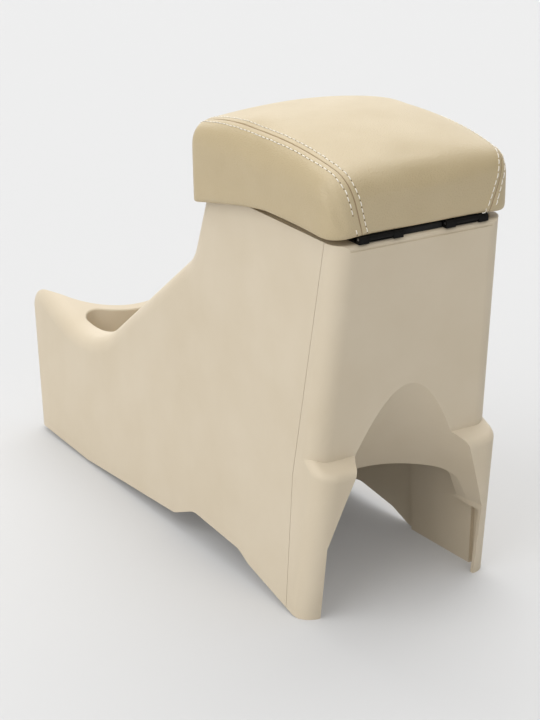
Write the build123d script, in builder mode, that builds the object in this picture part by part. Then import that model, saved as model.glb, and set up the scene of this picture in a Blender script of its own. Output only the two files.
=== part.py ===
"""Car centre armrest: a two-piece moulded console, a storage bin and a hinged, padded lid.

X runs across the car to its right, Y towards its front, Z up. The origin lies on the floor,
under the middle of the armrest's length and width.
"""
import os
from math import cos, radians, sin, tan

from build123d import *

# Console on the floor
heel_y = -201.6            # rear faces of the feet, on the floor
floor_length = 408.0       # heels to the front corners, on the floor
heel_width = 158.0         # over the side walls at the heels, on the floor
nose_width = 140.0         # over the side walls at the front corners, on the floor
side_draft = 2.65          # degrees that the side walls lean inwards going up
wall = 3.0                 # thickness of the mouldings
overcut = 30.0             # how far hollows pass below the floor

# Side outline of the console, from the heels forward
rim_height = 265.5         # top of the box under the lid
rim_length = 171.5         # rear to front of the box at its rim
rim_overhang = 17.8        # rim behind the heels
rear_lean = 6.2            # degrees that the rear panel leans back going up
box_front_lean = 17.0      # degrees that the box front leans back going up
bend_height = 211.0        # where the box front turns into the slope
slope_angle = 37.8         # slope down to the pocket
lip_height = 107.0         # middle of the front lip
lip_reach = 362.0          # heels to the middle of the front lip
nose_rise = 14.6           # degrees that the top rises from the pocket to the front horns
front_lean = 11.6          # degrees that the front leans forward going up
bend_radius = 30.0
valley_radius = 85.0
horn_radius = 18.0
right_horn_back = 30.0     # right horn's front behind the left one's
rim_round = 15.0           # rounded upper edges along the side walls
corner_radius = 14.0       # upright rear corners

# Hollow front and front pocket
horn_width = 8.5           # side walls to the hollow front, at the front corners
lip_width = 6.5            # lip between the hollow front and the pocket
pocket_side = 20.0         # side walls to the pocket, at the front corners
pocket_back = 298.0        # heels to the rear edge of the pocket
pocket_floor = 50.0        # height of the pocket's floor
pocket_corner = 12.0
pocket_floor_round = 6.0
pocket_edge_round = 1.5    # rolled edge of the pocket's mouth

# Rear legs, scoop and arch between them
shoulder_height = 113.8    # crease between the rear panel and the leg shoulders
shoulder_slope = 27.0
leg_lean = 7.5             # degrees that the leg faces lean forward going down
shoulder_round = 6.0
leg_depth = 28.0           # rear faces of the legs to the front of their rounded block
scoop_top = 158.5          # top of the scoop on the rear panel
scoop_angle = 34.7         # degrees from upright of the scoop's middle line
scoop_side = 48.0          # side walls to the scoop, at its top
scoop_spread = 18.5        # half angle of the scoop's cone
leg_width = 14.5           # side walls to the arch, on the floor
arch_height = 77.0
arch_spring = 53.0         # where the arch starts to close in
arch_closing = 11.0        # how far it closes in on each side
arch_corner = 12.0
web_height = 50.0          # lower ends of the scoop beside the legs

# Lower edges of the side walls, from the heels forward
heel_edge = 8.0            # flat of each foot
left_notch = 23.5          # clear height under the left wall
left_notch_start = 72.0    # heels to the step up
left_notch_ramp = 14.0     # length of the step up
left_notch_foot = 14.0     # height at the foot of the step up
left_notch_step = 20.0     # height at the top of the step up
right_notch = 14.0         # the same sizes of the right wall
right_notch_start = 89.0
right_notch_ramp = 20.0
right_notch_foot = 0.0
right_notch_step = 7.7
notch_end = 178.0          # heels to the end of the step down
notch_fall = 28.0          # length of the step down
notch_share = 0.5          # share of the clear height left after it
notch_round = 20.0
front_edge = 318.0         # heels to the lowest place of the front stretch
left_edge_gap = 2.6        # left wall over the floor there
left_nose_gap = 4.6        # left wall over the floor at its front corner

# Joint between the two mouldings
seam_gap = 0.4
seam_top = -1.5            # heels to the joint at the rim
seam_bend_height = 100.0
seam_low = 21.5            # heels to the joint near the floor
flange_reach = 82.0        # heels to the front edge of the inner lap flanges
flange_height = 200.0
band_height = 4.3          # set-back band along the rear rim
band_depth = 0.7
band_round = 3.0           # rolled edge of the rim

# Storage bin
mouth_side = 17.0          # rim's sides to the mouth
mouth_rear = 29.8          # rim's rear edge to the mouth
mouth_front = 19.7         # mouth to the rim's front edge
mouth_corner = 10.0
bin_clearance = 0.5
bin_wall = 2.0
bin_flange = 5.0
bin_flange_thickness = 2.5
bin_depth = 120.0
bin_draft = 2.0

# Hinges
hinge_length = 34.0
hinge_spacing = 68.0       # centre to centre
hinge_setback = 1.5        # rear panel to the pin's axis, at the rim
knuckle_radius = 1.9
knuckle_drop = 0.4         # lid's underside to the knuckles
outer_knuckle = 7.5
knuckle_gap = 0.25
pin_radius = 0.9
pin_clearance = 0.05
leaf_thickness = 1.2
leaf_depth = 12.5          # pin's axis to the leaf's free edge
leaf_clearance = 0.55
screw_radius = 1.3
screw_head_radius = 2.2
screw_spacing = 20.0
screw_inset = 4.5          # leaf's free edge to the screws
body_screw_length = 9.0
lid_screw_length = 6.5

# Lid
lid_gap = 5.4              # rim to the lid's underside
skirt_thickness = 6.3
skirt_clearance = 1.6      # console to the skirt's inner face
lid_rear_reach = 2.2       # lid's rear behind the rim
lid_front_reach = 10.3     # lid's front ahead of the rim
lid_corner = 20.0
lid_rear_height = 40.0     # underside to the middle of the top edge at the rear
lid_front_height = 41.0    # underside to the middle of the top edge at the front
lid_crown = 13.0           # top of the crown over the line between those edges
lid_fall = 8.0             # fall of the top from the middle to each side
lid_round = 18.0           # rounded upper edges of the pad
lid_droop = 14.0           # front of the skirt below the underside
droop_start = 80.0         # lid's rear to where the skirt starts to droop
cover_thickness = 1.2
cover_margin = 18.0        # cover turned under the board
seam_inset = 13.0          # sewn seams inside the pad's sides, at the top of the pad
seam_plane_lean = 15.8     # degrees that the seams close in going down
board_thickness = 6.0
board_inset = 9.0          # board's edge inside the pad's edge

# Rubber bumpers under the front of the lid
bumper_radius = 4.5
bumper_stem_radius = 2.0
bumper_spacing = 84.0
bumper_setback = 8.0       # front edge of the rim to the bumpers
bumper_clearance = 0.3

# Worked out from the sizes above
side_slope = tan(radians(side_draft))
plan_slope = (heel_width - nose_width) / 2 / floor_length
front_slope = tan(radians(front_lean))
rear_slope = tan(radians(rear_lean))
rim_back_y = heel_y - rim_overhang
rim_front_y = rim_back_y + rim_length
rim_half_width = heel_width / 2 + plan_slope * rim_overhang - side_slope * rim_height
front_y = heel_y + floor_length
lip_y = heel_y + lip_reach
recess_radius = nose_width / 2 - horn_width
recess_y = lip_y + recess_radius
pocket_width = nose_width - 2 * pocket_side
scoop_radius = heel_width / 2 - scoop_side
arch_half_width = heel_width / 2 - leg_width
lid_z = rim_height + lid_gap
lid_back_y = rim_back_y - lid_rear_reach
lid_front_y = rim_front_y + lid_front_reach
lid_y = (lid_back_y + lid_front_y) / 2
lid_length = lid_front_y - lid_back_y
lid_width = 2 * (rim_half_width + skirt_clearance + skirt_thickness)
lid_top_z = lid_z + (lid_rear_height + lid_front_height) / 2 + lid_crown
hinge_y = rim_back_y + hinge_setback
hinge_z = lid_z - knuckle_drop - knuckle_radius
mouth_width = 2 * (rim_half_width - mouth_side)
mouth_length = rim_length - mouth_rear - mouth_front
mouth_y = rim_back_y + mouth_rear + mouth_length / 2
leaf_screw_y = hinge_y + leaf_depth - screw_inset
board_z = lid_z + cover_thickness
bumper_y = rim_front_y - bumper_setback
bumper_x = (-bumper_spacing / 2, bumper_spacing / 2)
hinge_side = {"left": -hinge_spacing / 2, "right": hinge_spacing / 2}
reach = floor_length + lid_length    # longer than any cut through the armrest


def half_width(y, z):
    """Half the width over the side walls at a place along the length and a height."""
    return heel_width / 2 - plan_slope * (y - heel_y) - side_slope * z


def meet(p, p_angle, q, q_angle):
    """Point where the line through p and the line through q cross, for angles from +Y towards +Z."""
    a, b = radians(p_angle), radians(q_angle)
    t = ((q[0] - p[0]) * sin(b) - (q[1] - p[1]) * cos(b)) / (cos(a) * sin(b) - sin(a) * cos(b))
    return (p[0] + t * cos(a), p[1] + t * sin(a))


def plan_sketch(height, rear_y, inset):
    """Outline of the walls at one height, with rounded rear corners and open past the front."""
    far_y = front_y + recess_radius
    with BuildSketch(Plane.XY.offset(height)) as outline:
        with BuildLine():
            Polyline(
                (half_width(rear_y, height) - inset, rear_y + inset),
                (half_width(far_y, height) - inset, far_y),
                (-half_width(far_y, height) + inset, far_y),
                (-half_width(rear_y, height) + inset, rear_y + inset),
                close=True,
            )
        make_face()
        fillet(outline.vertices().group_by(Axis.Y)[0], corner_radius - inset)
    return outline.sketch


def outline_form(side, nose_y, inset):
    """Half of a block with the console's side outline, ending at nose_y on the floor."""
    bend = meet((rim_front_y, rim_height), 90 + box_front_lean, (0, bend_height), 0)
    valley = meet(bend, -slope_angle, (lip_y, lip_height), nose_rise)
    horn = meet((nose_y, 0), 90 - front_lean, (lip_y, lip_height), nose_rise)
    with BuildPart() as form:
        with BuildSketch(Plane.YZ) as profile:
            with BuildLine():
                Polyline(
                    (nose_y - front_slope * reach, -reach),
                    horn,
                    valley,
                    bend,
                    (rim_front_y, rim_height),
                    (rim_back_y - reach, rim_height),
                    (rim_back_y - reach, -reach),
                    close=True,
                )
            make_face()
            for corner, radius in ((horn, horn_radius), (valley, valley_radius), (bend, bend_radius)):
                fillet(profile.vertices().sort_by_distance((*corner, 0))[0], radius)
            if inset:
                offset(amount=-inset)
        extrude(amount=side * heel_width)
    return form.part


def upper_form(inset):
    """The box, slope and nose: leaning walls cut to the side outline, with rounded upper edges."""
    floor_z = -overcut if inset else 0
    rear_floor_y = rim_back_y + rear_slope * (rim_height - floor_z)
    floor_plan = plan_sketch(floor_z, rear_floor_y, inset)
    rim_plan = plan_sketch(rim_height, rim_back_y, inset)
    outline = outline_form(-1, front_y, inset) + outline_form(1, front_y - right_horn_back, inset)
    with BuildPart() as form:
        loft([floor_plan, rim_plan], ruled=True)
        add(outline, mode=Mode.INTERSECT)
        sides = form.faces().filter_by(lambda f: abs(f.normal_at().X) > 0.9).sort_by(SortBy.AREA)[-2:]
        edges = [edge for side in sides for edge in side.edges()]
        upper = [e for e in edges if e.center().Z > wall and e.center().Y > rim_front_y - wall]
        fillet(upper, rim_round - inset)
    return form.part


def leg_form(inset):
    """The rear legs before they are parted: one rounded block under a sloping shoulder ledge."""
    floor_z = -overcut if inset else 0
    lean = tan(radians(leg_lean))
    floor_plan = plan_sketch(floor_z, heel_y - lean * floor_z, inset)
    rim_plan = plan_sketch(rim_height, heel_y - lean * rim_height, inset)
    crease_y = rim_back_y + rear_slope * (rim_height - shoulder_height)
    slope = radians(shoulder_slope)
    rise = (0, -sin(slope), cos(slope))
    ledge = Plane(origin=(0, crease_y, shoulder_height), x_dir=(1, 0, 0), z_dir=rise)
    with BuildPart() as form:
        loft([floor_plan, rim_plan], ruled=True)
        split(bisect_by=ledge.offset(-inset), keep=Keep.BOTTOM)
        split(bisect_by=Plane.XZ.offset(-(heel_y + leg_depth)), keep=Keep.TOP)
        top = form.faces().filter_by(ledge)[0]
        fillet(top.edges().sort_by(Axis.Y)[:-1], shoulder_round - inset)
    return form.part


def scoop_form(grow):
    """Cone that hollows the rear above the legs' open sides, grown by the given thickness."""
    tilt = radians(scoop_angle - scoop_spread)
    along = Vector(0, sin(tilt), -cos(tilt))
    across = Vector(0, -cos(tilt), -sin(tilt))
    top_y = rim_back_y + rear_slope * (rim_height - scoop_top)
    start = Vector(0, top_y, scoop_top) + across * scoop_radius
    spread = tan(radians(scoop_spread))
    with BuildPart() as form:
        for run in (-scoop_radius, scoop_top + 2 * scoop_radius):
            with BuildSketch(Plane(origin=start + along * run, x_dir=(1, 0, 0), z_dir=along)):
                Circle(scoop_radius + run * spread + grow)
        loft()
        split(bisect_by=Plane.XY.offset(web_height), keep=Keep.TOP)
        with Locations((0, heel_y, 0)):
            Box(2 * (arch_half_width + grow), reach, 2 * rim_height, mode=Mode.INTERSECT)
    return form.part


def recess_form(grow):
    """Round hollow of the front, leaning with it, grown by the given thickness."""
    with BuildPart() as form:
        with BuildSketch(Plane.XY.offset(-overcut)):
            with Locations((0, recess_y - front_slope * (lip_height + overcut))):
                Circle(recess_radius + grow)
        extrude(amount=rim_height, dir=(0, sin(radians(front_lean)), cos(radians(front_lean))))
    return form.part


def pocket_form(grow):
    """Well of the front pocket, leaning with the front, grown by the given thickness."""
    depth = rim_height - pocket_floor + grow
    with BuildPart() as form:
        with BuildSketch(Plane.XY.offset(pocket_floor - grow)) as outline:
            shift = -front_slope * (lip_height - pocket_floor + grow)
            with Locations((0, heel_y + pocket_back + shift - grow)):
                Rectangle(pocket_width + 2 * grow, recess_radius * 2, align=(Align.CENTER, Align.MIN))
            with Locations((0, recess_y + shift)):
                Circle(recess_radius + lip_width - grow, mode=Mode.SUBTRACT)
            well = outline.faces().sort_by(Axis.Y)[0]
        with BuildSketch(Plane.XY.offset(pocket_floor - grow)) as rounded:
            add(well)
            fillet(rounded.vertices(), pocket_corner + grow / 2)
        extrude(rounded.sketch, amount=depth, dir=(0, sin(radians(front_lean)), cos(radians(front_lean))))
        fillet(form.faces().sort_by(Axis.Z)[0].edges(), pocket_floor_round + grow)
    return form.part


def arch_form():
    """Opening between the rear legs and under the scoop's skin."""
    top_half_width = arch_half_width - arch_closing
    with BuildPart() as form:
        with BuildSketch(Plane.XZ.offset(-heel_y)) as opening:
            with BuildLine():
                Polyline(
                    (-arch_half_width, -reach),
                    (-arch_half_width, arch_spring),
                    (-top_half_width, arch_height),
                    (top_half_width, arch_height),
                    (arch_half_width, arch_spring),
                    (arch_half_width, -reach),
                    close=True,
                )
            make_face()
            fillet(opening.vertices().group_by(Axis.Y)[-1], arch_corner)
        extrude(amount=reach / 4, both=True)
    return form.part


def notch_form(side, clear, start, ramp, foot, step, edge_gap, nose_gap):
    """Space under one side wall: a step up, a step down and the front stretch's gap."""
    toe, first, last = heel_y + heel_edge, heel_y + start, heel_y + notch_end
    front, far = heel_y + front_edge, front_y + recess_radius
    far_gap = edge_gap + (nose_gap - edge_gap) * (far - front) / (front_y - front)
    with BuildPart() as form:
        with BuildSketch(Plane.YZ.offset(side * (pocket_width / 2 + wall))) as profile:
            with BuildLine():
                Polyline(
                    (toe, 0),
                    (first, foot),
                    (first + ramp, step),
                    (last - notch_fall, clear),
                    (last, clear * notch_share),
                    (front, edge_gap),
                    (far, far_gap),
                    (far, -clear),
                    (toe, -clear),
                    close=True,
                )
            make_face()
            fillet([v for v in profile.vertices() if toe + ramp / 2 < v.X < front - ramp / 2], notch_round)
        extrude(amount=side * heel_width)
    return form.part


def left_notch_form():
    """Space under the left wall."""
    return notch_form(-1, left_notch, left_notch_start, left_notch_ramp, left_notch_foot, left_notch_step,
                      left_edge_gap, left_nose_gap)


def right_notch_form():
    """Space under the right wall, whose front stretch stands on the floor."""
    return notch_form(1, right_notch, right_notch_start, right_notch_ramp, right_notch_foot, right_notch_step,
                      0, 0)


def seam_y(height):
    """Place of the joint between the mouldings at a height."""
    rise = max(height - seam_bend_height, 0) / (rim_height - seam_bend_height)
    return heel_y + seam_low + (seam_top - seam_low) * rise


def rear_region(gap):
    """All that belongs to the rear moulding: what is behind the joint, less its gap, and the scoop's skin."""
    with BuildPart() as form:
        with BuildSketch(Plane.YZ):
            with BuildLine():
                Polyline(
                    (seam_y(2 * rim_height) - gap, 2 * rim_height),
                    (seam_y(seam_bend_height) - gap, seam_bend_height),
                    (seam_y(0) - gap, -reach),
                    (heel_y - reach, -reach),
                    (heel_y - reach, 2 * rim_height),
                    close=True,
                )
            make_face()
        extrude(amount=heel_width, both=True)
        add(scoop_form(wall) & upper_form(wall))
    return form.part


def flange_form(side):
    """Lap flange of the rear moulding, flat against the inside of one side wall."""
    ahead = heel_y + flange_reach
    with BuildPart() as form:
        for height in (0, flange_height):
            back = seam_y(height) - 2 * wall
            with BuildSketch(Plane.XY.offset(height)):
                with BuildLine():
                    Polyline(
                        (side * (half_width(back, height) - wall), back),
                        (side * (half_width(ahead, height) - wall), ahead),
                        (side * (half_width(ahead, height) - 2 * wall), ahead),
                        (side * (half_width(back, height) - 2 * wall), back),
                        close=True,
                    )
                make_face()
        loft(ruled=True)
    return form.part


def hollow_form(arch):
    """The space inside the mouldings."""
    with BuildPart() as form:
        add(upper_form(wall))
        add(leg_form(wall))
        add(scoop_form(wall) - arch, mode=Mode.SUBTRACT)
        add(recess_form(wall), mode=Mode.SUBTRACT)
        add(pocket_form(wall), mode=Mode.SUBTRACT)
    return form.part


def shell_form():
    """Both mouldings before they are parted: the skin with its lower edges cut."""
    arch = arch_form()
    with BuildPart() as form:
        add(upper_form(0))
        add(leg_form(0))
        add(scoop_form(0), mode=Mode.SUBTRACT)
        add(recess_form(0), mode=Mode.SUBTRACT)
        add(pocket_form(0), mode=Mode.SUBTRACT)
        mouth = [e for e in form.edges(Select.LAST) if e.center().Z > (pocket_floor + 2 * lip_height) / 3]
        fillet(mouth, pocket_edge_round)
        add(hollow_form(arch), mode=Mode.SUBTRACT)
        add(arch, mode=Mode.SUBTRACT)
        add(left_notch_form(), mode=Mode.SUBTRACT)
        add(right_notch_form(), mode=Mode.SUBTRACT)
    return form.part


def pad_form(inset):
    """The padded lid: crowned both ways, rounded on top and hollowed below, with a skirt round the rim."""
    back, front = lid_back_y + inset, lid_front_y - inset
    low = lid_z + inset
    rear_z, front_z = lid_z + lid_rear_height - inset, lid_z + lid_front_height - inset
    droop_y = lid_back_y + droop_start
    turn_radius = (lid_width ** 2 / 4 + lid_fall ** 2) / (2 * lid_fall)
    turn_z = lid_top_z - turn_radius
    with BuildPart() as form:
        with BuildSketch(Plane.XY.offset(low - lid_droop)):
            with Locations((0, lid_y)):
                RectangleRounded(lid_width - 2 * inset, lid_length - 2 * inset, lid_corner - inset)
        extrude(amount=2 * lid_top_z)
        with BuildSketch(Plane.YZ):
            with BuildLine():
                ThreePointArc((back, rear_z), (lid_y, lid_top_z - inset), (front, front_z))
                Polyline((front, front_z), (front, turn_z), (back, turn_z), (back, rear_z))
            make_face()
        revolve(axis=Axis((0, 0, turn_z), (0, 1, 0)), mode=Mode.INTERSECT)
        fillet(form.faces().sort_by(Axis.Z)[-1].edges(), lid_round - inset)
        with BuildSketch(Plane.YZ):
            with BuildLine():
                Spline((front, low - lid_droop), (droop_y, low), tangents=((-1, 0.02), (-1, 0)))
                Polyline((droop_y, low), (back, low), (back, low - lid_droop), (front, low - lid_droop))
            make_face()
        extrude(amount=lid_width, both=True, mode=Mode.SUBTRACT)
        with BuildSketch(Plane.XY.offset(low)):
            with BuildLine():
                side = rim_half_width + skirt_clearance + inset
                ahead = rim_front_y + tan(radians(box_front_lean)) * lid_droop + skirt_clearance + inset
                behind = back - lid_width
                Polyline((-side, behind), (-side, ahead), (side, ahead), (side, behind), close=True)
            make_face()
        extrude(amount=-lid_width, mode=Mode.SUBTRACT)
    return form.part


def tray_form(inset):
    """Solid of the storage bin's tray; with an inset, the space inside it, open above the flange."""
    width = mouth_width - 2 * bin_clearance - 2 * inset
    length = mouth_length - 2 * bin_clearance - 2 * inset
    with BuildPart() as form:
        with BuildSketch(Plane.XY.offset(rim_height)):
            with Locations((0, mouth_y)):
                RectangleRounded(width, length, mouth_corner - inset)
        extrude(amount=inset - bin_depth, taper=bin_draft)
        fillet(form.faces().sort_by(Axis.Z)[0].edges(), mouth_corner / 2)
        if inset:
            extrude(form.faces().sort_by(Axis.Z)[-1], amount=lid_gap)
    return form.part


def screw_places(y):
    """Screws of both hinges, two to a leaf, at a place along the length."""
    return [(x + dx, y) for x in hinge_side.values() for dx in (-screw_spacing / 2, screw_spacing / 2)]


def rod(x, length, radius):
    """Round bar on the hinge axis, starting at x."""
    with BuildPart() as form:
        with BuildSketch(Plane.YZ.offset(x)):
            with Locations((hinge_y, hinge_z)):
                Circle(radius)
        extrude(amount=length)
    return form.part


def screws(face_z, direction, length):
    """Countersunk screws of both hinges, head flush with a leaf's outer face."""
    with BuildPart() as form:
        plane = Plane(origin=(0, 0, face_z), x_dir=(1, 0, 0), z_dir=(0, 0, direction))
        places = [(x, direction * y) for x, y in screw_places(leaf_screw_y)]
        with BuildSketch(plane):
            with Locations(*places):
                Circle(screw_head_radius)
        extrude(amount=screw_head_radius - screw_radius, taper=45)
        with BuildSketch(plane):
            with Locations(*places):
                Circle(screw_radius)
        extrude(amount=length)
    return form.part


os.makedirs("parts", exist_ok=True)
shell = shell_form()
body_screw_set = screws(rim_height + leaf_thickness, -1, body_screw_length)
lid_screw_set = screws(lid_z - leaf_thickness, 1, lid_screw_length)

# Front moulding: box, slope, pocket well and hollow front, with the mouth for the bin
with BuildPart() as front_shell:
    add(shell)
    add(rear_region(0), mode=Mode.SUBTRACT)
    with BuildSketch(Plane.XY.offset(rim_height)):
        with Locations((0, mouth_y)):
            RectangleRounded(mouth_width, mouth_length, mouth_corner)
        with Locations(*[(x, bumper_y) for x in bumper_x]):
            Circle(bumper_stem_radius)
    extrude(amount=-2 * wall, mode=Mode.SUBTRACT)
front_shell.part.label = "front_shell"
export_step(front_shell.part, "parts/front_shell.step")

# Rear moulding: rear panel, scoop and legs, with lap flanges inside the front moulding
with BuildPart() as rear_shell:
    add(shell)
    add(rear_region(seam_gap), mode=Mode.INTERSECT)
    add(flange_form(-1) - left_notch_form())
    add(flange_form(1) - right_notch_form())
    with BuildSketch(Plane.YZ):
        with BuildLine():
            band_y = rim_back_y + band_depth
            band_low_y = band_y + rear_slope * band_height
            roll_z = rim_height - band_round
            roll = Line((band_low_y, rim_height - band_height), (band_y + rear_slope * band_round, roll_z))
            turn = TangentArc(roll @ 1, (band_y + band_round, rim_height), tangent=roll % 1)
            clear_y = band_y - wall
            Polyline(turn @ 1, (clear_y, rim_height + wall), (clear_y, rim_height - band_height), roll @ 0)
        make_face()
    extrude(amount=heel_width, both=True, mode=Mode.SUBTRACT)
    add(body_screw_set, mode=Mode.SUBTRACT)
rear_shell.part.label = "rear_shell"
export_step(rear_shell.part, "parts/rear_shell.step")

# Storage bin: drafted tray with a flange that rests on the rim
flange_width = mouth_width + 2 * bin_flange
flange_length = mouth_length + 2 * bin_flange
with BuildPart() as storage_bin:
    add(tray_form(0))
    with BuildSketch(Plane.XY.offset(rim_height)):
        with Locations((0, mouth_y)):
            RectangleRounded(flange_width, flange_length, mouth_corner + bin_flange)
    extrude(amount=bin_flange_thickness)
    add(tray_form(bin_wall), mode=Mode.SUBTRACT)
storage_bin.part.label = "storage_bin"
export_step(storage_bin.part, "parts/storage_bin.step")

# Stiffening board of the lid
board_width = lid_width - 2 * board_inset
board_length = lid_length - 2 * board_inset
with BuildPart() as lid_board:
    with BuildSketch(Plane.XY.offset(board_z)):
        with Locations((0, lid_y)):
            RectangleRounded(board_width, board_length, lid_corner - board_inset)
    extrude(amount=board_thickness)
    add(lid_screw_set, mode=Mode.SUBTRACT)
lid_board.part.label = "lid_board"
export_step(lid_board.part, "parts/lid_board.step")

# Foam pad round the board
with BuildPart() as foam_pad:
    add(pad_form(cover_thickness))
    add(lid_board.part, mode=Mode.SUBTRACT)
    add(lid_screw_set, mode=Mode.SUBTRACT)
foam_pad.part.label = "foam_pad"
export_step(foam_pad.part, "parts/foam_pad.step")

# Cover: one thin skin, turned under the board and sewn from three panels
cover_turn = 2 * (board_inset + cover_margin)
with BuildPart() as cover:
    add(pad_form(0))
    add(pad_form(cover_thickness), mode=Mode.SUBTRACT)
    with BuildSketch(Plane.XY.offset(board_z)):
        with Locations((0, lid_y)):
            RectangleRounded(lid_width - cover_turn, lid_length - cover_turn, lid_corner / 2)
    extrude(amount=-2 * cover_thickness, mode=Mode.SUBTRACT)
    add(lid_screw_set, mode=Mode.SUBTRACT)

seam_tilt = tan(radians(seam_plane_lean))
left_seam = Plane(origin=(seam_inset - lid_width / 2, 0, lid_top_z), z_dir=(1, 0, seam_tilt))
right_seam = Plane(origin=(lid_width / 2 - seam_inset, 0, lid_top_z), z_dir=(-1, 0, seam_tilt))

with BuildPart() as cover_centre_panel:
    add(cover.part)
    split(bisect_by=left_seam, keep=Keep.TOP)
    split(bisect_by=right_seam, keep=Keep.TOP)
cover_centre_panel.part.label = "cover_centre_panel"
export_step(cover_centre_panel.part, "parts/cover_centre_panel.step")

with BuildPart() as cover_left_panel:
    add(cover.part)
    split(bisect_by=left_seam, keep=Keep.BOTTOM)
cover_left_panel.part.label = "cover_left_panel"
export_step(cover_left_panel.part, "parts/cover_left_panel.step")

with BuildPart() as cover_right_panel:
    add(cover.part)
    split(bisect_by=right_seam, keep=Keep.BOTTOM)
cover_right_panel.part.label = "cover_right_panel"
export_step(cover_right_panel.part, "parts/cover_right_panel.step")

# Hinges: two leaves with interlocking knuckles on a pin
sweep_radius = knuckle_radius + leaf_clearance
inner_knuckle = hinge_length - 2 * outer_knuckle
for side, x in hinge_side.items():
    start = x - hinge_length / 2
    inner_start = start + outer_knuckle

    with BuildPart() as hinge_body_leaf:
        with BuildSketch(Plane.XY.offset(rim_height)):
            with Locations((x, hinge_y)):
                Rectangle(hinge_length, leaf_depth, align=(Align.CENTER, Align.MIN))
        extrude(amount=leaf_thickness)
        add(rod(inner_start, inner_knuckle, sweep_radius), mode=Mode.SUBTRACT)
        ear_centres = (start + outer_knuckle / 2, start + hinge_length - outer_knuckle / 2)
        with BuildSketch(Plane.XY.offset(rim_height)):
            with Locations(*[(ear_x, hinge_y) for ear_x in ear_centres]):
                Rectangle(outer_knuckle, 2 * knuckle_radius)
        extrude(amount=hinge_z - rim_height)
        add(rod(start, outer_knuckle, knuckle_radius))
        add(rod(inner_start + inner_knuckle, outer_knuckle, knuckle_radius))
        add(rod(start, hinge_length, pin_radius), mode=Mode.SUBTRACT)
        add(body_screw_set, mode=Mode.SUBTRACT)
    hinge_body_leaf.part.label = f"{side}_hinge_body_leaf"
    export_step(hinge_body_leaf.part, f"parts/{side}_hinge_body_leaf.step")

    with BuildPart() as hinge_lid_leaf:
        with BuildSketch(Plane.XY.offset(lid_z)):
            with Locations((x, hinge_y)):
                Rectangle(hinge_length, leaf_depth, align=(Align.CENTER, Align.MIN))
        extrude(amount=-leaf_thickness)
        add(rod(start, outer_knuckle + knuckle_gap, sweep_radius), mode=Mode.SUBTRACT)
        add(rod(start + hinge_length, -outer_knuckle - knuckle_gap, sweep_radius), mode=Mode.SUBTRACT)
        add(rod(inner_start + knuckle_gap, inner_knuckle - 2 * knuckle_gap, knuckle_radius))
        add(rod(start, hinge_length, pin_radius + pin_clearance), mode=Mode.SUBTRACT)
        add(lid_screw_set, mode=Mode.SUBTRACT)
    hinge_lid_leaf.part.label = f"{side}_hinge_lid_leaf"
    export_step(hinge_lid_leaf.part, f"parts/{side}_hinge_lid_leaf.step")

    with BuildPart() as hinge_pin:
        add(rod(start, hinge_length, pin_radius))
    hinge_pin.part.label = f"{side}_hinge_pin"
    export_step(hinge_pin.part, f"parts/{side}_hinge_pin.step")

with BuildPart() as body_leaf_screws:
    add(body_screw_set)
body_leaf_screws.part.label = "body_leaf_screws"
export_step(body_leaf_screws.part, "parts/body_leaf_screws.step")

with BuildPart() as lid_leaf_screws:
    add(lid_screw_set)
lid_leaf_screws.part.label = "lid_leaf_screws"
export_step(lid_leaf_screws.part, "parts/lid_leaf_screws.step")

# Rubber bumpers pressed into the front of the rim
with BuildPart() as lid_bumpers:
    with BuildSketch(Plane.XY.offset(rim_height)):
        with Locations(*[(x, bumper_y) for x in bumper_x]):
            Circle(bumper_radius)
    extrude(amount=lid_gap - bumper_clearance)
    fillet(lid_bumpers.edges().group_by(Axis.Z)[-1], bumper_radius / 4)
    with BuildSketch(Plane.XY.offset(rim_height)):
        with Locations(*[(x, bumper_y) for x in bumper_x]):
            Circle(bumper_stem_radius)
    extrude(amount=-2 * wall)
lid_bumpers.part.label = "lid_bumpers"
export_step(lid_bumpers.part, "parts/lid_bumpers.step")
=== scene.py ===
from math import cos, pi, radians, sin, tan

import bmesh
import bpy
import numpy as np
from mathutils import Matrix, Vector


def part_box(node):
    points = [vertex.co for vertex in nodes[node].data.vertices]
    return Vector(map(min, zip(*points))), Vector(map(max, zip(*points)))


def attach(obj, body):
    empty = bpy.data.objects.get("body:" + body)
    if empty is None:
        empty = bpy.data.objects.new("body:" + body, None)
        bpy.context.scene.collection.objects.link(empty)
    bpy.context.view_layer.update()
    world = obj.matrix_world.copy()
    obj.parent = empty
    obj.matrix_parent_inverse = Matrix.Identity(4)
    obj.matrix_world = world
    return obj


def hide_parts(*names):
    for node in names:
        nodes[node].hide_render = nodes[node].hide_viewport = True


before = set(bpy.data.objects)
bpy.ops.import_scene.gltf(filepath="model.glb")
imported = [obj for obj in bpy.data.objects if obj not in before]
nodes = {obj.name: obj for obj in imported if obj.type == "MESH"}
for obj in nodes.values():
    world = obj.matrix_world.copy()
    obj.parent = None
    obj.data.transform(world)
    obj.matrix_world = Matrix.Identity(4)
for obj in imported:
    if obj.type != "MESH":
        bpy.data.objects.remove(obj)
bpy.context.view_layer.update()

# Front and rear mouldings.
# The console's two shells are moulded from warm beige plastic with a fine satin grain, lapped and
# bonded along the side walls. The skin is slightly uneven, as large thin mouldings are.
shell_colour = (0.635, 0.550, 0.420)
shell_colour_worn = (0.600, 0.512, 0.378)
shell_roughness = 0.46


def new_finish(name):
    """Empty node material: its tree, its surface shader and the place on the piece in metres."""
    finish = bpy.data.materials.new(name)
    finish.use_nodes = True
    tree = finish.node_tree
    place = tree.nodes.new("ShaderNodeTexCoord").outputs["Object"]
    return finish, tree, tree.nodes["Principled BSDF"], place


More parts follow.
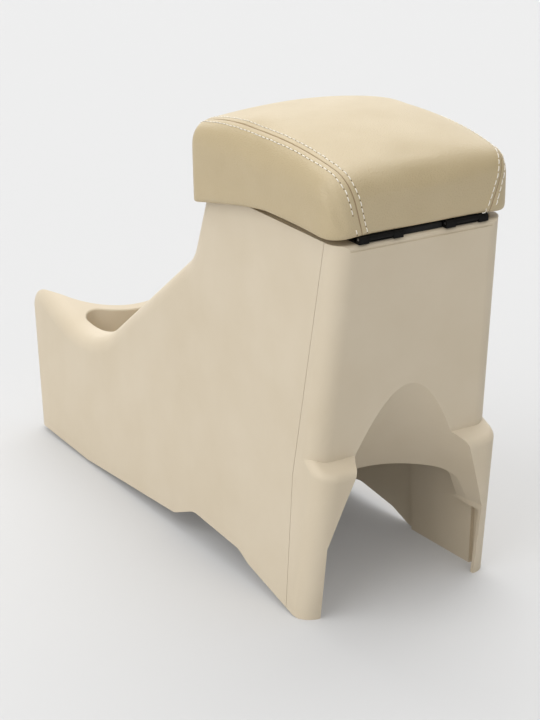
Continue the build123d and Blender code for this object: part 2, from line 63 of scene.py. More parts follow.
def speckle(tree, place, grain, detail=2.0):
    """Cloudy noise whose patches are about one grain across, in metres."""
    noise = tree.nodes.new("ShaderNodeTexNoise")
    noise.inputs["Scale"].default_value = 1 / grain
    noise.inputs["Detail"].default_value = detail
    tree.links.new(place, noise.inputs["Vector"])
    return noise.outputs["Fac"]


def between(tree, share, low, high):
    """A number that follows a 0 to 1 share from low to high."""
    span = tree.nodes.new("ShaderNodeMapRange")
    span.inputs["To Min"].default_value = low
    span.inputs["To Max"].default_value = high
    tree.links.new(share, span.inputs["Value"])
    return span.outputs["Result"]


def tint(tree, share, first, second, low=0.3, high=0.7):
    """A colour that goes from first to second while a share goes from low to high."""
    ramp = tree.nodes.new("ShaderNodeValToRGB")
    ramp.color_ramp.elements[0].position = low
    ramp.color_ramp.elements[0].color = (*first, 1)
    ramp.color_ramp.elements[1].position = high
    ramp.color_ramp.elements[1].color = (*second, 1)
    tree.links.new(share, ramp.inputs["Fac"])
    return ramp.outputs["Color"]


def raise_grain(tree, shader, layers):
    """Bump from (height, depth in metres) layers, the coarsest first."""
    normal = None
    for height, depth in layers:
        bump = tree.nodes.new("ShaderNodeBump")
        bump.inputs["Strength"].default_value = 1.0
        bump.inputs["Distance"].default_value = depth
        tree.links.new(height, bump.inputs["Height"])
        if normal:
            tree.links.new(normal, bump.inputs["Normal"])
        normal = bump.outputs["Normal"]
    tree.links.new(normal, shader.inputs["Normal"])


def moulded_plastic(name, colour, worn, roughness):
    """Satin moulded plastic: cloudy tone, fine grain and a faint waviness."""
    cloud_size, wave_size, grain_size = 0.045, 0.05, 0.0007
    wave_depth, grain_depth = 0.0012, 0.00002
    finish, tree, shader, place = new_finish(name)
    clouds = speckle(tree, place, cloud_size, detail=4.0)
    tree.links.new(tint(tree, clouds, colour, worn, low=0.35, high=0.85), shader.inputs["Base Color"])
    tree.links.new(between(tree, clouds, roughness - 0.05, roughness + 0.06), shader.inputs["Roughness"])
    shader.inputs["Specular IOR Level"].default_value = 0.2
    waves = speckle(tree, place, wave_size, detail=1.0)
    grain = speckle(tree, place, grain_size, detail=1.0)
    raise_grain(tree, shader, [(waves, wave_depth), (grain, grain_depth)])
    return finish


def dress(finish, *names):
    """Gives nodes of the model a finish."""
    for name in names:
        nodes[name].data.materials.clear()
        nodes[name].data.materials.append(finish)


shell_finish = moulded_plastic("shell_plastic", shell_colour, shell_colour_worn, shell_roughness)
dress(shell_finish, "front_shell", "rear_shell")

# Storage bin.
# A plain drafted tray of the same beige family, a little darker and duller, injection moulded in one
# piece. It drops into the console's mouth under the lid and hangs by its flange on the rim.
bin_colour = (0.44, 0.365, 0.255)
bin_colour_worn = (0.40, 0.33, 0.225)
bin_roughness = 0.55
dress(moulded_plastic("bin_plastic", bin_colour, bin_colour_worn, bin_roughness), "storage_bin")

# Hinges, pins and screws.
# Stamped steel leaves with a black coating, rolled round bright wire pins. Black countersunk screws
# hold one leaf of each hinge to the rim and the other to the lid.
leaf_black, leaf_scuffed = (0.005, 0.0045, 0.004), (0.013, 0.0115, 0.010)
pin_bright, pin_dull = (0.42, 0.42, 0.43), (0.28, 0.28, 0.29)
screw_black, screw_scuffed = (0.02, 0.02, 0.02), (0.06, 0.058, 0.055)


def coated_steel(name, colour, scuffed, roughness, metallic=0.0, gloss=0.5):
    """Coated or bright steel with fine scuffs."""
    scuff_size, scuff_depth = 0.0012, 0.00003
    finish, tree, shader, place = new_finish(name)
    scuff = speckle(tree, place, scuff_size, detail=5.0)
    tree.links.new(tint(tree, scuff, colour, scuffed, low=0.45, high=0.8), shader.inputs["Base Color"])
    tree.links.new(between(tree, scuff, roughness - 0.08, roughness + 0.1), shader.inputs["Roughness"])
    shader.inputs["Metallic"].default_value = metallic
    shader.inputs["Specular IOR Level"].default_value = gloss
    raise_grain(tree, shader, [(scuff, scuff_depth)])
    return finish


leaf_finish = coated_steel("hinge_black", leaf_black, leaf_scuffed, roughness=0.62, gloss=0.12)
dress(leaf_finish, "left_hinge_body_leaf", "right_hinge_body_leaf")
dress(leaf_finish, "left_hinge_lid_leaf", "right_hinge_lid_leaf")
pin_finish = coated_steel("pin_wire", pin_bright, pin_dull, roughness=0.35, metallic=1.0)
dress(pin_finish, "left_hinge_pin", "right_hinge_pin")
screw_finish = coated_steel("screw_black", screw_black, screw_scuffed, roughness=0.42)
dress(screw_finish, "body_leaf_screws", "lid_leaf_screws")

# Rubber bumpers.
# Two soft black buttons of moulded rubber, pressed into the front of the rim. The closed lid rests on
# them.
rubber_black, rubber_bloomed = (0.016, 0.016, 0.016), (0.034, 0.033, 0.031)


def moulded_rubber(name):
    """Matt black rubber with a dusty bloom."""
    bloom_size, pit_size, pit_depth = 0.004, 0.0005, 0.00003
    finish, tree, shader, place = new_finish(name)
    bloom = speckle(tree, place, bloom_size, detail=4.0)
    tree.links.new(tint(tree, bloom, rubber_black, rubber_bloomed), shader.inputs["Base Color"])
    tree.links.new(between(tree, bloom, low=0.7, high=0.85), shader.inputs["Roughness"])
    raise_grain(tree, shader, [(speckle(tree, place, pit_size), pit_depth)])
    return finish


dress(moulded_rubber("bumper_rubber"), "lid_bumpers")

# Rim strip.
# A narrow black strip on the rim between the two hinges, a sheet of painted shade that stands in for
# the shadow in the gap under the lid's rear edge.
gap_shade_black, gap_shade_grey = (0.004, 0.004, 0.004), (0.016, 0.0155, 0.015)
strip_height, strip_width, strip_edge = 0.0040, 0.0075, 0.0008
strip_end_gap, strip_setback = 0.001, 0.003
rim_top_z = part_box("rear_shell")[1].z
left_leaf_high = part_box("left_hinge_body_leaf")[1]
right_leaf_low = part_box("right_hinge_body_leaf")[0]
strip_front = left_leaf_high.y - strip_setback
strip_low = Vector((left_leaf_high.x + strip_end_gap, strip_front - strip_width, rim_top_z))
strip_high = Vector((right_leaf_low.x - strip_end_gap, strip_front, rim_top_z + strip_height))


def finished_piece(name, mesh, finish, body):
    """Links a mesh as a smooth piece that rides on a body."""
    mesh.materials.clear()
    mesh.materials.append(finish)
    mesh.polygons.foreach_set("use_smooth", [True] * len(mesh.polygons))
    piece = bpy.data.objects.new(name, mesh)
    bpy.context.scene.collection.objects.link(piece)
    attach(piece, body)
    return piece


def gap_shade_strip(name):
    """Near-black painted shade for the gap under the lid, speckled and with a fine pitted bump."""
    cell_size, cell_depth = 0.0008, 0.00025
    finish, tree, shader, place = new_finish(name)
    cells = speckle(tree, place, cell_size, detail=3.0)
    tree.links.new(tint(tree, cells, gap_shade_black, gap_shade_grey), shader.inputs["Base Color"])
    tree.links.new(between(tree, cells, low=0.85, high=0.95), shader.inputs["Roughness"])
    raise_grain(tree, shader, [(cells, cell_depth)])
    return finish


shape = bmesh.new()
bmesh.ops.create_cube(shape, size=1)
for vertex in shape.verts:
    spans = zip(strip_low, strip_high, vertex.co)
    vertex.co = Vector([(low + high) / 2 + share * (high - low) for low, high, share in spans])
upper_edges = [e for e in shape.edges if all(v.co.z > rim_top_z + strip_height / 2 for v in e.verts)]
bmesh.ops.bevel(shape, geom=upper_edges, offset=strip_edge, segments=3, affect="EDGES", profile=0.5)
strip_mesh = bpy.data.meshes.new("rim_shade_strip_mesh")
shape.to_mesh(strip_mesh)
shape.free()
finished_piece("rim_shade_strip", strip_mesh, gap_shade_strip("gap_shade_strip"), "console")

# Lid board.
# A sheet of brown hardboard, sawn to shape, that stiffens the lid. Its bare underside shows inside the
# turned-under cover.
fibre_dark, fibre_light = (0.13, 0.075, 0.036), (0.24, 0.15, 0.08)


def hardboard(name):
    """Pressed brown fibre with short flecks."""
    fleck_size, fleck_depth = 0.0015, 0.00008
    finish, tree, shader, place = new_finish(name)
    fleck = speckle(tree, place, fleck_size, detail=6.0)
    tree.links.new(tint(tree, fleck, fibre_dark, fibre_light), shader.inputs["Base Color"])
    tree.links.new(between(tree, fleck, low=0.65, high=0.85), shader.inputs["Roughness"])
    raise_grain(tree, shader, [(fleck, fleck_depth)])
    return finish


dress(hardboard("board_fibre"), "lid_board")

# Padded cover.
# Three panels of soft grained vinyl, sewn along two seams and pulled tight over a foam pad. The cover
# turns under the board, where it is stapled, and its skirt hangs lower at the front.
cover_low, cover_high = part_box("cover_centre_panel")
pad_half = -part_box("cover_left_panel")[0].x
pad_back, pad_front, pad_top_z = cover_low.y, cover_high.y, cover_high.z
pad_middle = (pad_back + pad_front) / 2
pad_reach = (pad_front - pad_back) / 2
cover_thickness = 0.0012
underside_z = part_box("lid_board")[0].z - cover_thickness

# The pad starts smaller by more than the foam's swell. Its top edge is a squarish curve of this size
# and power, and its top is crowned along and across.
swell = 0.0015
side_trim, end_trim = 1.7 * swell, 1.3 * swell
half_x = pad_half - side_trim
half_y = pad_reach - end_trim
edge_round, edge_power = 0.0155, 2.6
crown_rise, cross_rise, top_lift = 0.013, 0.005, 0.0008
edge_height = pad_top_z + top_lift - crown_rise - cross_rise - underside_z
crown_start, front_lean = 0.4, 0.004

# The skirt hangs from the middle of the lid to its front, and a little at the two rear corners.
skirt_drop, skirt_lead, droop_power = 0.005, 0.012, 1.25
droop = underside_z - cover_low.z + skirt_drop
droop_start = pad_middle - skirt_lead
corner_drop, corner_start, corner_reach = 0.003, 0.5, 0.060
bend_height = 0.022
hem, skirt_thickness = 0.0025, 0.0048
turn_under, turn_corner = 0.027, 0.010


def limited(share):
    """A share kept between 0 and 1."""
    return min(max(share, 0), 1)


def round_steps(count):
    """Distances round a bend of the top edge, from its start to its end."""
    return [edge_round * tan(radians(45) * k / count) for k in range(1, count + 1)]


def steps_along(half, inner_count, bend_count):
    """Grid places from -half to half, closer together round the bends at both ends."""
    bend = [half - edge_round + step for step in round_steps(bend_count)]
    inner = np.linspace(edge_round - half, half - edge_round, inner_count + 1).tolist()
    return [-b for b in reversed(bend)] + inner + bend


def hang_at(x, y):
    """How far the skirt hangs below the lid's underside at a place on the lid's edge."""
    front_share = limited((y - droop_start) / (pad_front - droop_start))
    across = limited((abs(x) / half_x - corner_start) / (1 - corner_start))
    along = limited(1 - (y - pad_back) / corner_reach)
    return droop * front_share ** droop_power + corner_drop * across ** 2 * along ** 2


def core_and_way(x, y):
    """The point of the pad's inner rectangle nearest to a place, and the step from it to that place."""
    core = Vector((max(min(x, half_x - edge_round), edge_round - half_x),
                   max(min(y, half_y - edge_round), edge_round - half_y), 0))
    return core, Vector((x, y, 0)) - core


def settle(point, height):
    """Moves a point of the plain rounded block to its place on the crowned, drooping lid."""
    x, y = point.x, point.y + pad_middle
    rise = crown_rise * (1 - (point.y / half_y) ** 2) + cross_rise * (1 - (x / half_x) ** 2)
    share = limited((height - crown_start * edge_height) / ((1 - crown_start) * edge_height))
    hang = hang_at(x, y) * max(1 - height / bend_height, 0)
    y += front_lean * (height / edge_height - 0.5) * max(point.y / half_y, 0)
    return Vector((x, y, underside_z + height - hang + rise * share * share * (3 - 2 * share)))


def margin_place(x, y, inset):
    """A place on the turned-under margin, an inset in from the lid's edge."""
    core, way = core_and_way(x, y)
    way.normalize()
    if inset < turn_under:
        return core + (edge_round - inset) * way
    shrink_x = (half_x - turn_under - turn_corner) / (half_x - edge_round)
    shrink_y = (half_y - turn_under - turn_corner) / (half_y - edge_round)
    return Vector((core.x * shrink_x, core.y * shrink_y, 0)) + turn_corner * way


def cover_mesh():
    """The cover before it is filled: crowned top, sides, turned edge and margin; the last face closes it."""
    across_count, along_count, side_count, bend_count = 22, 28, 5, 4
    across = steps_along(half_x, across_count, bend_count)
    along = steps_along(half_y, along_count, bend_count)
    up = np.linspace(hem, edge_height - edge_round, side_count).tolist()
    up += [edge_height - edge_round + step for step in round_steps(bend_count)]
    last_i, last_j, last_k = len(across) - 1, len(along) - 1, len(up) - 1
    points, faces, index = [], [], {}

    def corner(i, j, k):
        if (i, j, k) not in index:
            core, way = core_and_way(across[i], along[j])
            rise = max(up[k] - (edge_height - edge_round), 0)
            reach = (way.length ** edge_power + rise ** edge_power) ** (1 / edge_power)
            way *= edge_round / max(reach, 1e-9)
            height = min(up[k], edge_height - edge_round) + edge_round * rise / max(reach, 1e-9)
            index[i, j, k] = len(points)
            points.append(settle(core + way, height))
        return index[i, j, k]

    for i in range(last_i):
        for j in range(last_j):
            faces.append([corner(i, j, last_k), corner(i + 1, j, last_k),
                          corner(i + 1, j + 1, last_k), corner(i, j + 1, last_k)])
    loop = [(i, 0) for i in range(last_i)] + [(last_i, j) for j in range(last_j)]
    loop += [(i, last_j) for i in range(last_i, 0, -1)] + [(0, j) for j in range(last_j, 0, -1)]
    count = len(loop)
    for n, (i, j) in enumerate(loop):
        i_next, j_next = loop[(n + 1) % count]
        for k in range(last_k):
            faces.append([corner(i, j, k), corner(i_next, j_next, k),
                          corner(i_next, j_next, k + 1), corner(i, j, k + 1)])

    # Rows of the turned edge and the margin: inset, height, and whether the row lies flat on the board.
    rows = [(0.0008, 0.0008, False), (hem, 0, False), (skirt_thickness - 0.0016, 0, False),
            (skirt_thickness - 0.0003, 0.0012, False), (skirt_thickness, 0, True),
            (skirt_thickness + 0.003, 0, True), (0.014, 0, True), (turn_under, 0, True),
            (turn_under, cover_thickness, True)]
    ring = [corner(i, j, 0) for i, j in loop]
    first_hidden = len(points)
    for inset, height, flat in rows:
        next_ring = []
        for i, j in loop:
            place = margin_place(across[i], along[j], inset)
            y = place.y + pad_middle
            hang = 0 if flat else hang_at(place.x, y)
            next_ring.append(len(points))
            points.append(Vector((place.x, y, underside_z - hang + min(height, max(hang, cover_thickness)))))
        for n in range(count):
            m = (n + 1) % count
            faces.append([next_ring[n], next_ring[m], ring[m], ring[n]])
        ring = next_ring
    faces.append(list(reversed(ring)))

    mesh = bpy.data.meshes.new("cover")
    mesh.from_pydata(points, [], faces)
    held = {v: 1.0 for v in range(first_hidden, len(points))}
    hold_up_the_side = (1.0, 0.85, 0.5, 0.2)
    for i, j in loop:
        for k, hold in enumerate(hold_up_the_side):
            held[corner(i, j, k)] = hold
    return mesh, held


def filled(mesh, held, cap):
    """Moves the cover to where the foam has pushed it: a short pressure simulation, evened out and capped."""
    last_frame, evening_passes, still = 20, 6, 1e-9
    piece = bpy.data.objects.new("cover_sim", mesh)
    bpy.context.scene.collection.objects.link(piece)
    group = piece.vertex_groups.new(name="held")
    for vertex, hold in held.items():
        group.add([vertex], hold, "REPLACE")
    cloth = piece.modifiers.new("cloth", "CLOTH")
    cloth.settings.quality = 6
    cloth.settings.mass = 0.25
    cloth.settings.tension_stiffness = 18
    cloth.settings.compression_stiffness = 14
    cloth.settings.bending_stiffness = 0.6
    cloth.settings.use_pressure = True
    cloth.settings.uniform_pressure_force = 4
    cloth.settings.vertex_group_mass = "held"
    cloth.settings.effector_weights.gravity = 0
    cloth.point_cache.frame_start, cloth.point_cache.frame_end = 1, last_frame
    start = [v.co.copy() for v in mesh.vertices]
    for number in range(1, last_frame + 1):
        bpy.context.scene.frame_set(number)
    shown = piece.evaluated_get(bpy.context.evaluated_depsgraph_get())
    moved = [v.co.copy() for v in shown.data.vertices]
    piece.modifiers.clear()
    bpy.context.scene.frame_set(1)
    steps = np.array(moved) - np.array(start)
    ends = np.array([edge.vertices[:] for edge in mesh.edges])
    for _ in range(evening_passes):
        total, count = np.zeros_like(steps), np.zeros((len(steps), 1))
        for here, there in ((ends[:, 0], ends[:, 1]), (ends[:, 1], ends[:, 0])):
            np.add.at(total, here, steps[there])
            np.add.at(count, here, 1)
        steps = (steps + total / count) / 2
    for vertex, old, step in zip(mesh.vertices, start, steps):
        length = np.linalg.norm(step)
        if length > still:
            step = step * cap * np.tanh(length / cap) / length
        vertex.co = old + Vector(step)
    bpy.data.objects.remove(piece)


def smoothed(mesh, levels):
    """The mesh after subdivision, as a new mesh."""
    piece = bpy.data.objects.new("smooth", mesh)
    bpy.context.scene.collection.objects.link(piece)
    piece.modifiers.new("smooth", "SUBSURF").levels = levels
    made = bpy.data.meshes.new_from_object(piece.evaluated_get(bpy.context.evaluated_depsgraph_get()))
    bpy.data.objects.remove(piece)
    return made


cover, held = cover_mesh()
filled(cover, held, swell)
shape = bmesh.new()
shape.from_mesh(cover)
shape.faces.ensure_lookup_table()
bmesh.ops.delete(shape, geom=[shape.faces[-1]], context="FACES_ONLY")
shape.to_mesh(cover)
shape.free()
cover = smoothed(cover, 2)

# One soft crease runs down the cover's rear left corner.
crease = [Vector((-0.0745, pad_back + 0.013, 0.304)), Vector((-0.0700, pad_back + 0.0045, 0.292)),
          Vector((-0.0640, pad_back, 0.279))]
crease_depth, crease_reach = 0.0018, 0.0036


def distance_to_run(point, start, end):
    """Distance from a point to the straight run between two others."""
    share = limited((point - start).dot(end - start) / (end - start).length_squared)
    return (point - start.lerp(end, share)).length


for vertex, normal in [(v, v.normal.copy()) for v in cover.vertices]:
    near = min(distance_to_run(vertex.co, start, end) for start, end in zip(crease, crease[1:]))
    vertex.co -= normal * crease_depth * np.exp(-(near / crease_reach) ** 2)

# The two seams lie in planes that lean outwards; the vinyl dips at each and rises a little beside it.
sides = ("left", "right")
seam_points = {"left": Vector((-0.0637, 0, pad_top_z)), "right": Vector((0.0707, 0, pad_top_z))}
seam_leans = {"left": radians(16.0), "right": radians(19.5)}
seam_normals = {"left": Vector((cos(seam_leans["left"]), 0, sin(seam_leans["left"]))),
                "right": Vector((-cos(seam_leans["right"]), 0, sin(seam_leans["right"])))}
seam_cuts = (-0.0040, -0.0022, -0.0012, -0.0006, -0.0003, 0, 0.0003, 0.0006, 0.0012, 0.0022, 0.0040)
groove_depth, groove_width = 0.0004, 0.0004
fold_rise, fold_place, fold_width = 0.0001, 0.0026, 0.0014
seam_shade_width = 0.0003
cut_tolerance = 1e-7
lowest_groove_normal = -0.5


def seam_distance(point, side):
    """Distance from a seam's plane, positive towards the middle of the lid."""
    return (point - seam_points[side]).dot(seam_normals[side])


def cut_beside(mesh_shape, side, offset):
    """Cuts edges into a shape along a plane beside a seam, and returns what was cut."""
    everything = mesh_shape.verts[:] + mesh_shape.edges[:] + mesh_shape.faces[:]
    plane_place = seam_points[side] + offset * seam_normals[side]
    made = bmesh.ops.bisect_plane(mesh_shape, geom=everything, dist=cut_tolerance,
                                  plane_no=seam_normals[side], plane_co=plane_place)
    return made["geom_cut"]


shape = bmesh.new()
shape.from_mesh(cover)
for side in sides:
    for offset in seam_cuts:
        cut_beside(shape, side, offset)
seam_layer = shape.verts.layers.float.new("seam")
shape.normal_update()
for vertex, normal in [(v, v.normal.copy()) for v in shape.verts]:
    away = min(abs(seam_distance(vertex.co, side)) for side in sides)
    groove = groove_depth * np.exp(-(away / groove_width) ** 2)
    fold = fold_rise * np.exp(-((away - fold_place) / fold_width) ** 2)
    vertex[seam_layer] = np.exp(-(away / seam_shade_width) ** 2)
    if normal.z > lowest_groove_normal:
        vertex.co -= normal * (groove - fold)
shape.normal_update()

vinyl_colour, vinyl_colour_worn = (0.490, 0.390, 0.226), (0.466, 0.366, 0.206)
seam_colour = (0.20, 0.105, 0.032)


def vinyl(name):
    """Soft beige vinyl with a pebble grain, browner down in the seams."""
    cloud_size, dent_size, dent_depth = 0.03, 0.018, 0.0003
    pebbles_per_metre, pebble_depth = 900, 0.00018
    share_in, first_in, second_in, colour_out = 0, 6, 7, 2
    finish, tree, shader, place = new_finish(name)
    clouds = speckle(tree, place, cloud_size, detail=3.0)
    seam = tree.nodes.new("ShaderNodeAttribute")
    seam.attribute_name = "seam"
    blend = tree.nodes.new("ShaderNodeMix")
    blend.data_type = "RGBA"
    tree.links.new(seam.outputs["Fac"], blend.inputs[share_in])
    tree.links.new(tint(tree, clouds, vinyl_colour, vinyl_colour_worn), blend.inputs[first_in])
    blend.inputs[second_in].default_value = (*seam_colour, 1)
    tree.links.new(blend.outputs[colour_out], shader.inputs["Base Color"])
    tree.links.new(between(tree, clouds, low=0.44, high=0.54), shader.inputs["Roughness"])
    shader.inputs["Specular IOR Level"].default_value = 1.0
    dents = speckle(tree, place, dent_size, detail=2.0)
    pebble = tree.nodes.new("ShaderNodeTexVoronoi")
    pebble.inputs["Scale"].default_value = pebbles_per_metre
    tree.links.new(place, pebble.inputs["Vector"])
    raise_grain(tree, shader, [(dents, dent_depth), (pebble.outputs["Distance"], pebble_depth)])
    return finish


def panel_of(face):
    """Which of the three panels a face of the cover belongs to."""
    centre = face.calc_center_median()
    for side in sides:
        if seam_distance(centre, side) < 0:
            return side
    return "centre"


vinyl_finish = vinyl("cover_vinyl")
for panel in ("left", "centre", "right"):
    cut = shape.copy()
    bmesh.ops.delete(cut, geom=[f for f in cut.faces if panel_of(f) != panel], context="FACES")
    panel_mesh = bpy.data.meshes.new(panel + "_panel")
    cut.to_mesh(panel_mesh)
    cut.free()
    piece = finished_piece(panel + "_vinyl_panel", panel_mesh, vinyl_finish, "lid")
    if panel == "centre":
        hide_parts("cover_centre_panel", "foam_pad")
    else:
        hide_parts("cover_" + panel + "_panel")

# Topstitching.
# Two rows of thick cream thread run along each seam, one either side, sewn through the vinyl and its
# backing. Each stitch lies on the surface and dives into its needle holes; on the left, dark plugs in the
# holes are painted shade.
row_offsets = {("left", "outer"): -0.0038, ("left", "inner"): 0.0036,
               ("right", "outer"): -0.0031, ("right", "inner"): 0.0031}
row_start, row_stop = 0.001, 0.0018
stitch_pitch = 0.0046
stitch_lengths = {"left": 0.0030, "right": 0.0036}
length_scatter, slip_scatter = 0.08, 0.00018
stitch_rise = ((0, -0.00045), (0.12, 0.0001), (0.32, 0.0003), (0.68, 0.0003), (0.88, 0.0001), (1, -0.00045))
lost_low_z, lost_high_z = 0.2775, 0.2870
thread_radius, thread_around = 0.00032, 6
hole_radius, hole_around, hole_depth, hole_lift = 0.00040, 8, 0.0003, 0.00008
thread_cream, thread_pale = (0.80, 0.75, 0.65), (0.90, 0.87, 0.80)
hole_shade_dark, hole_shade_brown = (0.055, 0.040, 0.024), (0.110, 0.084, 0.052)
chance = np.random.default_rng(7)


def is_outside(vertex):
    """Whether a point of the cover faces up or outwards, not in under the lid."""
    least = 0.3
    away = vertex.co.y - pad_middle
    return vertex.normal.z > least or away * vertex.normal.y > least * abs(away)


def row_path(side, offset):
    """Points and normals along a stitch row, from the front edge of the lid to the rear one."""
    cut = shape.copy()
    made = cut_beside(cut, side, offset)
    cut.normal_update()
    beside = {}
    for edge in (g for g in made if isinstance(g, bmesh.types.BMEdge)):
        first, second = edge.verts
        if is_outside(first) and is_outside(second):
            beside.setdefault(first, []).append(second)
            beside.setdefault(second, []).append(first)
    here = max((v for v, near in beside.items() if len(near) == 1), key=lambda v: v.co.y)
    walked, seen = [], set()
    while here is not None:
        seen.add(here)
        walked.append((here.co.copy(), here.normal.copy()))
        here = next((v for v in beside[here] if v not in seen), None)
    cut.free()
    return walked


def measured(path):
    """The length of a row, and a function that gives its point and normal at a distance along it."""
    places = np.array([place for place, _ in path])
    normals = np.array([normal for _, normal in path])
    travel = np.concatenate([[0], np.cumsum(np.linalg.norm(np.diff(places, axis=0), axis=1))])

    def on_row(distance):
        spot = Vector([np.interp(distance, travel, places[:, c]) for c in range(3)])
        normal = Vector([np.interp(distance, travel, normals[:, c]) for c in range(3)])
        return spot, normal.normalized()

    return travel[-1], on_row


def tube(points, radius, around, made_points, made_faces, flat):
    """Adds a closed round tube along points to lists of mesh points and faces; flat sets its first side."""
    first = len(made_points)
    for n, point in enumerate(points):
        ahead = (points[min(n + 1, len(points) - 1)] - points[max(n - 1, 0)]).normalized()
        beside = ahead.cross(flat).normalized()
        over = beside.cross(ahead)
        for k in range(around):
            angle = 2 * pi * k / around
            made_points.append(point + radius * (cos(angle) * beside + sin(angle) * over))
    for n in range(len(points) - 1):
        for k in range(around):
            a, b = first + n * around + k, first + n * around + (k + 1) % around
            made_faces.append([a, b, b + around, a + around])
    made_faces.append([first + k for k in reversed(range(around))])
    made_faces.append([first + (len(points) - 1) * around + k for k in range(around)])


def thread(name):
    """Cream sewing thread, a little fuzzy."""
    fuzz_size, fuzz_depth = 0.0006, 0.00005
    finish, tree, shader, place = new_finish(name)
    fuzz = speckle(tree, place, fuzz_size)
    tree.links.new(tint(tree, fuzz, thread_cream, thread_pale), shader.inputs["Base Color"])
    tree.links.new(between(tree, fuzz, low=0.6, high=0.8), shader.inputs["Roughness"])
    raise_grain(tree, shader, [(fuzz, fuzz_depth)])
    return finish


def hole_shade_plug(name):
    """Painted shade: the dark inside of a needle hole, on a plug set in the hole."""
    shade_size = 0.0006
    finish, tree, shader, place = new_finish(name)
    shade = speckle(tree, place, shade_size)
    tree.links.new(tint(tree, shade, hole_shade_dark, hole_shade_brown), shader.inputs["Base Color"])
    shader.inputs["Roughness"].default_value = 0.9
    shader.inputs["Specular IOR Level"].default_value = 0.1
    return finish


def mesh_of(name, points, faces):
    """A mesh of points and faces."""
    mesh = bpy.data.meshes.new(name)
    mesh.from_pydata(points, [], faces)
    return mesh


stitch_points, stitch_faces = [], []
hole_points, hole_faces = [], []
rows = {place: measured(row_path(place[0], offset)) for place, offset in row_offsets.items()}
for (side, row), (row_length, on_row) in rows.items():
    stitch_length = stitch_lengths[side]
    for start in np.arange(row_start, row_length - row_stop - stitch_length, stitch_pitch):
        reach = stitch_length * (1 + length_scatter * chance.standard_normal())
        slip = slip_scatter * chance.standard_normal()
        middle, middle_normal = on_row(start + reach / 2)
        at_rear_left = (side, row) == ("left", "outer") and middle.y < pad_middle
        if at_rear_left and lost_low_z < middle.z < lost_high_z:
            continue
        line = []
        for share, lift in stitch_rise:
            spot, normal = on_row(start + share * reach)
            line.append(spot + lift * normal + slip * seam_normals[side])
        tube(line, thread_radius, thread_around, stitch_points, stitch_faces, middle_normal)
        # After each stitch on the left, a dark plug of painted shade stands in its needle hole.
        if side == "left":
            spot, normal = on_row(start + (stitch_length + stitch_pitch) / 2)
            plug = [spot - hole_depth * normal, spot + hole_lift * normal]
            tube(plug, hole_radius, hole_around, hole_points, hole_faces, seam_normals[side])

# The right inner row ends in a loose tail of thread at the lid's rear edge.
tail_start, tail_lift, tail_thinning = 0.0025, 0.0002, 0.8
tail_steps = ((0, 0, 0.002), (-0.0003, -0.0005, 0), (-0.0013, -0.0010, -0.0004),
              (-0.0026, -0.0012, -0.0005), (-0.0040, -0.0011, -0.0003))
row_length, on_row = rows["right", "inner"]
tail, tail_normal = on_row(row_length - tail_start)
tail_line = [tail + tail_normal * tail_lift + Vector(step) for step in tail_steps]
tube(tail_line, thread_radius * tail_thinning, thread_around, stitch_points, stitch_faces, tail_normal)

stitch_mesh = mesh_of("stitching", stitch_points, stitch_faces)
finished_piece("topstitching", stitch_mesh, thread("sewing_thread"), "lid")
hole_mesh = mesh_of("hole_shade_plugs", hole_points, hole_faces)
finished_piece("hole_shade_plugs", hole_mesh, hole_shade_plug("hole_shade_plug"), "lid")
shape.free()

# Staples.
# Bright wire staples, shot from below, hold the turned-under vinyl to the board, a thumb's width apart
# along the margin.
staple_bright, staple_dull = (0.5, 0.5, 0.5), (0.36, 0.36, 0.37)
staple_crown, staple_leg, staple_pitch = 0.010, 0.003, 0.026
staple_wire, wire_around = 0.00035, 6
staple_inset, rear_staple_inset = 0.019, 0.022
stapled_x = half_x - staple_inset
stapled_front, stapled_rear = pad_front - staple_inset, pad_back + rear_staple_inset
staple_points, staple_faces = [], []


def staple(x, y, run, flat):
    """One staple: a crown just proud of the vinyl, along a run, and two legs up into the board."""
    half_crown = run * staple_crown / 2
    low = Vector((x, y, underside_z - staple_wire * 0.6))
    deep = Vector((0, 0, staple_leg))
    one_leg = [low - half_crown + deep, low - half_crown + deep * 0.15, low - half_crown * 0.93]
    other_leg = [low + half_crown * 0.93, low + half_crown + deep * 0.15, low + half_crown + deep]
    tube(one_leg + other_leg, staple_wire, wire_around, staple_points, staple_faces, flat)


across_lid, along_lid = Vector((1, 0, 0)), Vector((0, 1, 0))
for n in range(5):
    for x in (-stapled_x, stapled_x):
        staple(x, pad_middle + (n - 2) * staple_pitch, along_lid, across_lid)
for n in range(3):
    staple((n - 1) * staple_pitch, stapled_front, across_lid, along_lid)
staple(0, stapled_rear, across_lid, along_lid)
staple_mesh = mesh_of("staples", staple_points, staple_faces)
staple_finish = coated_steel("staple_wire", staple_bright, staple_dull, roughness=0.35, metallic=1.0)
finished_piece("staples", staple_mesh, staple_finish, "lid")

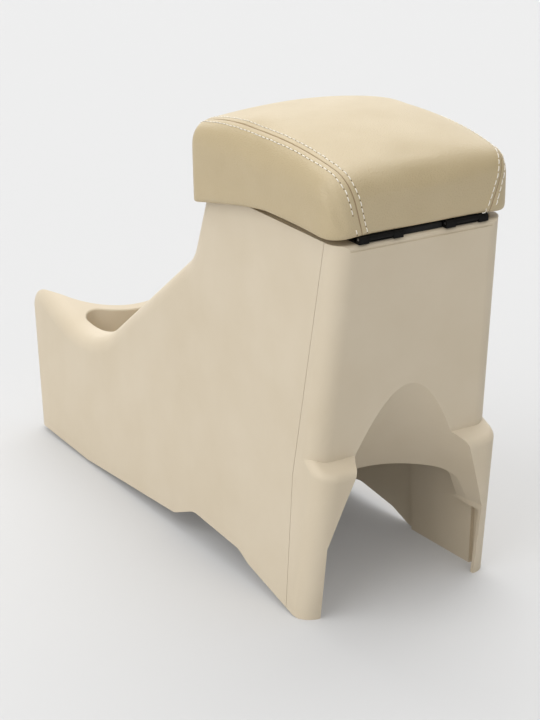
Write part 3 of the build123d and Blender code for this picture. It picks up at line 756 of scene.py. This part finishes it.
# Floor, light and camera.
# The part stands on a plain pale studio floor. Four very broad lamps give soft light: from overhead,
# from its left, from beyond its front and, weakest, from behind it, where the camera is.
floor_half = 60.0
floor_tone, floor_glow = (0.53, 0.53, 0.53, 1), 0.10
white = (1, 1, 1, 1)
floor_corners = [(-floor_half, -floor_half, 0), (floor_half, -floor_half, 0),
                 (floor_half, floor_half, 0), (-floor_half, floor_half, 0)]
floor_mesh = mesh_of("floor", floor_corners, [(0, 1, 2, 3)])
floor = bpy.data.objects.new("floor", floor_mesh)
bpy.context.scene.collection.objects.link(floor)
floor_finish, _, floor_shader, _ = new_finish("floor_paper")
floor_shader.inputs["Base Color"].default_value = floor_tone
floor_shader.inputs["Emission Color"].default_value = white
floor_shader.inputs["Emission Strength"].default_value = floor_glow
floor_shader.inputs["Roughness"].default_value = 0.9
floor_shader.inputs["Specular IOR Level"].default_value = 0.1
floor_mesh.materials.append(floor_finish)

# Each lamp's name, the way its light travels, its spread in degrees and its strength.
lamps = (("overhead", (0, 0, -1), 90, 2.40), ("left", (1, 0, -0.45), 70, 1.75),
         ("back", (-0.54, -0.84, -0.45), 80, 2.30), ("fill", (0.2, 1, -0.2), 70, 0.72))
for name, way, spread, strength in lamps:
    lamp = bpy.data.lights.new(name, "SUN")
    lamp.energy = strength
    lamp.angle = radians(spread)
    lamp_object = bpy.data.objects.new(name, lamp)
    lamp_object.rotation_euler = Vector(way).to_track_quat("-Z", "Y").to_euler()
    bpy.context.scene.collection.objects.link(lamp_object)

studio_glow = 0.03
world = bpy.data.worlds.new("studio")
world.use_nodes = True
world.node_tree.nodes["Background"].inputs["Color"].default_value = white
world.node_tree.nodes["Background"].inputs["Strength"].default_value = studio_glow
bpy.context.scene.world = world
bpy.context.scene.view_settings.view_transform = "Standard"

focal_pixels, image_height = 2132, 720
sensor_height = 36
camera_place = (-0.787, -1.2628, 0.666)
pitch, heading, roll = radians(20.52), radians(32.70), radians(0.23)
camera = bpy.data.cameras.new("camera")
camera.sensor_fit = "VERTICAL"
camera.sensor_height = sensor_height
camera.lens = focal_pixels * sensor_height / image_height
camera.clip_start, camera.clip_end = 0.05, 50
forward = Vector((sin(heading) * cos(pitch), cos(heading) * cos(pitch), -sin(pitch)))
right = Vector((cos(heading), -sin(heading), 0))
turn = Matrix((right, right.cross(forward), -forward)).transposed().to_4x4()
camera_object = bpy.data.objects.new("camera", camera)
camera_object.matrix_world = Matrix.Translation(camera_place) @ turn @ Matrix.Rotation(roll, 4, "Z")
bpy.context.scene.collection.objects.link(camera_object)
bpy.context.scene.camera = camera_object

bpy.context.view_layer.update()
